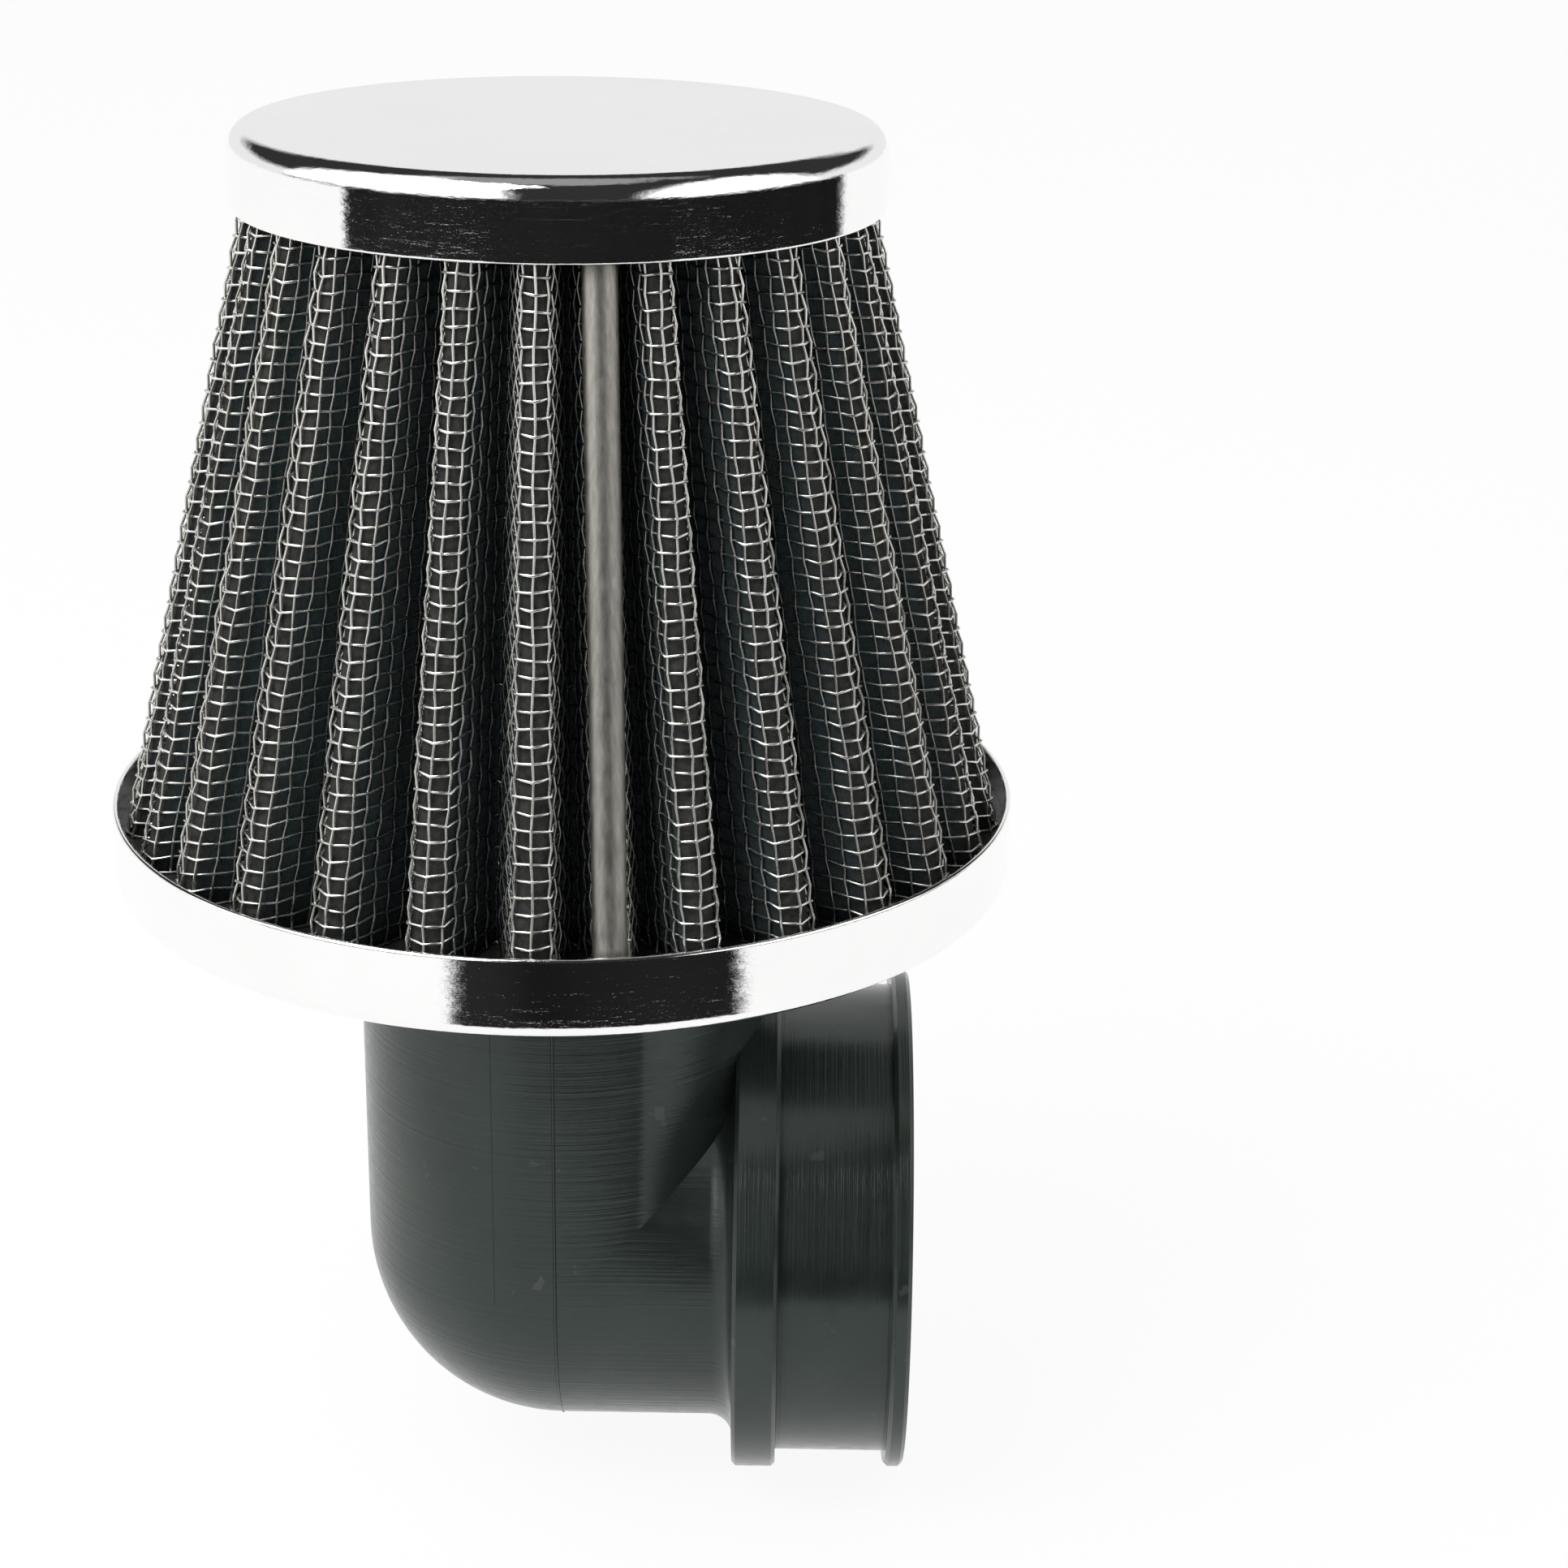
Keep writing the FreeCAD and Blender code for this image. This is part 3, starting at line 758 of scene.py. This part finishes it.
FLASH_R = 0.16 * MM
FLASH_STEPS = 48
FLASH_TURNS = [math.radians(180 * step / FLASH_STEPS) for step in range(FLASH_STEPS + 1)]
flash_run = [(AXIS_X, -RISER_R, RING_FLOOR_Z)]
flash_run += [(AXIS_X, -RISER_R * math.cos(turn), -RISER_R * math.sin(turn)) for turn in FLASH_TURNS]
flash_run += [(AXIS_X, RISER_R, RING_FLOOR_Z)]
mould_line = wires("mould_line", [flash_run], False, FLASH_R)
finish_piece(mould_line, RUBBER, "rubber")

SLIDE_R = FLASH_R / 3
SLIDE_TURN = math.radians(-17)
slide_x = AXIS_X + RISER_R * math.sin(SLIDE_TURN)
slide_y = -RISER_R * math.cos(SLIDE_TURN)
slide_run = [(slide_x, slide_y, 0.0), (slide_x, slide_y, RING_FLOOR_Z)]
slide_line = wires("slide_line", [slide_run], False, SLIDE_R)
finish_piece(slide_line, RUBBER, "rubber")

# %% [markdown]
# The inner cloth and both castings of sealant are inside the filter. They keep their solids, and get a
# finish of their own, because a look through the outlet or between the pleats can reach them.

# %% Inner solids
for node, material in (("inner_mesh", WIRE_STEEL), ("top_sealant", SEALANT), ("base_sealant", SEALANT)):
    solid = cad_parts[node]
    solid.data.materials.clear()
    solid.data.materials.append(material)
    print("%s keeps its solid" % node)

# %% [markdown]
# The floor is a plain white sheet, just under the elbow. To the camera and in reflections it glows almost
# white, and the rest of its finish takes a soft shadow.

# %% Floor
FLOOR_GLOW = 0.93
FLOOR_REACH = 6.0
FLOOR_GAP = 0.2 * MM
FLOOR_STEPS = 72


def stage_sector(name, near, far, start, end, height, material, steps=24):
    """A flat piece of a ring about the filter's axis, angles in degrees from the front."""
    points = []
    for step in range(steps + 1):
        turn = math.radians(start + (end - start) * step / steps)
        for reach in (near, far):
            points.append((AXIS_X + reach * math.sin(turn), -reach * math.cos(turn), height))
    faces = [(2 * step, 2 * step + 1, 2 * step + 3, 2 * step + 2) for step in range(steps)]
    sheet = new_piece(name, points, [], faces)
    sheet.data.materials.append(material)
    return sheet


def floor_finish():
    material, tree, shader, place = new_material("White floor", 0.0, 0.9)
    paper = add_group(tree, MOTTLE, place, "Scale", 4.0)
    tint = ramp(tree, paper.outputs["Broad"], [(0.0, (0.90, 0.90, 0.90)), (1.0, (0.93, 0.93, 0.93))])
    tree.links.new(tint, shader.inputs["Base Color"])
    shader.inputs["Specular IOR Level"].default_value = 0.0
    path = tree.nodes.new("ShaderNodeLightPath")
    seen = tree.nodes.new("ShaderNodeMath")
    seen.operation = "MAXIMUM"
    tree.links.new(path.outputs["Is Camera Ray"], seen.inputs[0])
    tree.links.new(path.outputs["Is Glossy Ray"], seen.inputs[1])
    share = tree.nodes.new("ShaderNodeMath")
    share.operation = "MULTIPLY"
    share.inputs[1].default_value = FLOOR_GLOW
    tree.links.new(seen.outputs["Value"], share.inputs[0])
    white = tree.nodes.new("ShaderNodeEmission")
    white.inputs["Strength"].default_value = 1.0
    mix = tree.nodes.new("ShaderNodeMixShader")
    tree.links.new(share.outputs["Value"], mix.inputs["Fac"])
    tree.links.new(shader.outputs["BSDF"], mix.inputs[1])
    tree.links.new(white.outputs["Emission"], mix.inputs[2])
    tree.links.new(mix.outputs["Shader"], tree.nodes["Material Output"].inputs["Surface"])
    return material


stage_sector("floor", 0.0, FLOOR_REACH, 0, 360, FLOOR_Z - FLOOR_GAP, floor_finish(), FLOOR_STEPS)
print("floor at %.4f" % FLOOR_Z)

# %% [markdown]
# Photographers lay dark cards beside chrome, because a mirror needs something dark to show its form. A
# narrow card close in front gives the base ring its dark patch, and a wide one further off darkens the rim
# of the cap. They are seen only in reflections.

# %% Dark cards
NEAR_CARD = {"near": 0.145, "far": 0.5, "start": -21, "end": 43}
FAR_CARD = {"near": 0.42, "far": 5.0, "start": -72, "end": 116}
NEAR_CARD_Z = FLOOR_Z + 1.0 * MM
FAR_CARD_Z = FLOOR_Z + 1.5 * MM


def card_finish():
    material, tree, shader, place = new_material("Dark card", 0.0, 1.0)
    felt = add_group(tree, MOTTLE, place, "Scale", 6.0)
    tint = ramp(tree, felt.outputs["Broad"], [(0.0, (0.006, 0.006, 0.006)), (1.0, (0.02, 0.02, 0.02))])
    tree.links.new(tint, shader.inputs["Base Color"])
    shader.inputs["Specular IOR Level"].default_value = 0.0
    return material


DARK = card_finish()
near_card = stage_sector("near_dark_card", height=NEAR_CARD_Z, material=DARK, **NEAR_CARD)
far_card = stage_sector("far_dark_card", height=FAR_CARD_Z, material=DARK, **FAR_CARD)
for card in (near_card, far_card):
    card.visible_camera = False
    card.visible_diffuse = False
    card.visible_shadow = False
    card.visible_transmission = False
print("cards:", near_card.name, far_card.name)

# %% [markdown]
# Light comes from all round, as in a white studio. In reflections the world is a room, and what a mirror
# sees depends on the direction in which it looks: X to the right, Y to the back and Z up. The back of the
# room is a pale wall that greys the top of the cap. Its corners are darker, and so is the ceiling, round a
# skylight. They draw the dark line round the top of the cap.

# %% Back of the room
world = bpy.data.worlds.new("Studio")
bpy.context.scene.world = world
world.use_nodes = True
sky = world.node_tree
air = sky.nodes["Background"]
look = sky.nodes.new("ShaderNodeTexCoord")
heading = sky.nodes.new("ShaderNodeSeparateXYZ")
sky.links.new(look.outputs["Generated"], heading.inputs["Vector"])


def grey(level):
    return (level, level, level)


DIM = grey(0.03)
WALL = grey(0.84)
WINDOW = grey(1.3)
SKYLIGHT = grey(0.3)
BACK_LEVELS = [(0.0, WALL), (0.42, WALL), (0.56, DIM), (0.88, DIM), (0.93, SKYLIGHT)]
CORNER_LEVELS = [(0.0, WALL), (0.22, WALL), (0.34, DIM), (0.88, DIM), (0.93, SKYLIGHT)]
CORNER_SPAN = [(0.3, grey(0.0)), (0.45, grey(1.0)), (0.9, grey(1.0)), (0.96, grey(0.0))]
back_middle = ramp(sky, heading.outputs["Z"], BACK_LEVELS)
back_corners = ramp(sky, heading.outputs["Z"], CORNER_LEVELS)
aside = sky.nodes.new("ShaderNodeMath")
aside.operation = "ABSOLUTE"
sky.links.new(heading.outputs["X"], aside.inputs[0])
in_corner = ramp(sky, aside.outputs["Value"], CORNER_SPAN)
back_wall = mixed(sky, in_corner, back_middle, back_corners)
print("wall %.2f, ceiling %.2f, skylight %.2f" % (WALL[0], DIM[0], SKYLIGHT[0]))

# %% [markdown]
# The front of the room has two tall bright windows with a dark post between them. They draw the pale slivers
# along the cap's rounded edge and light the wires. The post ends below the skylight.

# %% Front of the room
FRONT_LEVELS = [(0.02, DIM), (0.06, WINDOW), (0.90, WINDOW), (0.95, SKYLIGHT)]
POST_SPAN = [(0.36, grey(0.0)), (0.41, grey(1.0)), (0.74, grey(1.0)), (0.79, grey(0.0))]
POST_TOP = (0.97, 0.95)
FRONT_FROM = (0.26, 0.14)
windows = ramp(sky, heading.outputs["Z"], FRONT_LEVELS)
sideways = stretch(sky, heading.outputs["X"], -1.0, 1.0)
post = ramp(sky, sideways, POST_SPAN)
below_top = stretch(sky, heading.outputs["Z"], *POST_TOP)
ended_post = sky.nodes.new("ShaderNodeMath")
ended_post.operation = "MULTIPLY"
sky.links.new(post, ended_post.inputs[0])
sky.links.new(below_top, ended_post.inputs[1])
front_wall = mixed(sky, ended_post.outputs["Value"], windows, DIM)
in_front = stretch(sky, heading.outputs["Y"], *FRONT_FROM)
room = mixed(sky, in_front, back_wall, front_wall)
print("windows %.2f" % WINDOW[0])

# %% [markdown]
# The Light Path node tells which kind of ray asks. Glossy rays get the room, the camera gets plain white,
# and all other light is a plain grey.

# %% World
THROWN_GREY = grey(0.6)
SHOWN_WHITE = grey(1.0)
rays = sky.nodes.new("ShaderNodeLightPath")
thrown = mixed(sky, rays.outputs["Is Glossy Ray"], THROWN_GREY, room)
shown = mixed(sky, rays.outputs["Is Camera Ray"], thrown, SHOWN_WHITE)
sky.links.new(shown, air.inputs["Color"])
air.inputs["Strength"].default_value = 1.0
print("world:", world.name)

# %% [markdown]
# A large soft lamp from the upper left gives the form its shading. It is aimed at the middle of the base
# ring.

# %% Lamp
LAMP_PLACE = (-0.45, -0.35, 0.75)
LAMP_SIZE = 0.6
LAMP_POWER = 7.0
clear_selection()
bpy.ops.object.light_add(type="AREA", location=LAMP_PLACE)
lamp = bpy.context.object
lamp.name = "soft_lamp"
lamp.data.size = LAMP_SIZE
lamp.data.energy = LAMP_POWER
lamp.rotation_euler = (Vector((AXIS_X, 0, RIM_Z)) - lamp.location).to_track_quat("-Z", "Y").to_euler()
print("lamp power:", lamp.data.energy)

# %% [markdown]
# The camera stands where the photographer stood: a little to the right of the filter's axis, looking down
# at about twenty degrees, with a slight roll. Its lens comes from the photograph's width in pixels.

# %% Camera
SENSOR_WIDTH = 36.0
PHOTO_WIDTH = 1932
FOCAL_PIXELS = 3877
CAMERA_BACK = 0.2979
CAMERA_ABOVE_RIM = 0.1127
CAMERA_RIGHT = 0.0221
LOOK_DOWN = math.radians(20.73)
ROLL = math.radians(0.97)

camera_data = bpy.data.cameras.new("camera")
camera = bpy.data.objects.new("camera", camera_data)
bpy.context.scene.collection.objects.link(camera)
camera_data.sensor_width = SENSOR_WIDTH
camera_data.lens = SENSOR_WIDTH * FOCAL_PIXELS / PHOTO_WIDTH
camera_data.clip_start = 0.01
camera_data.clip_end = 20.0
stand = Matrix.Translation((AXIS_X + CAMERA_RIGHT, -CAMERA_BACK, RIM_Z + CAMERA_ABOVE_RIM))
tilt = Matrix.Rotation(math.pi / 2 - LOOK_DOWN, 4, "X")
roll = Matrix.Rotation(ROLL, 4, "Z")
camera.matrix_world = stand @ tilt @ roll
bpy.context.scene.camera = camera
bpy.context.scene.view_settings.view_transform = "Standard"
print("lens %.1f mm" % camera_data.lens)

# %% [markdown]
# Last, the selection is cleared.

# %% Clear the selection
clear_selection()
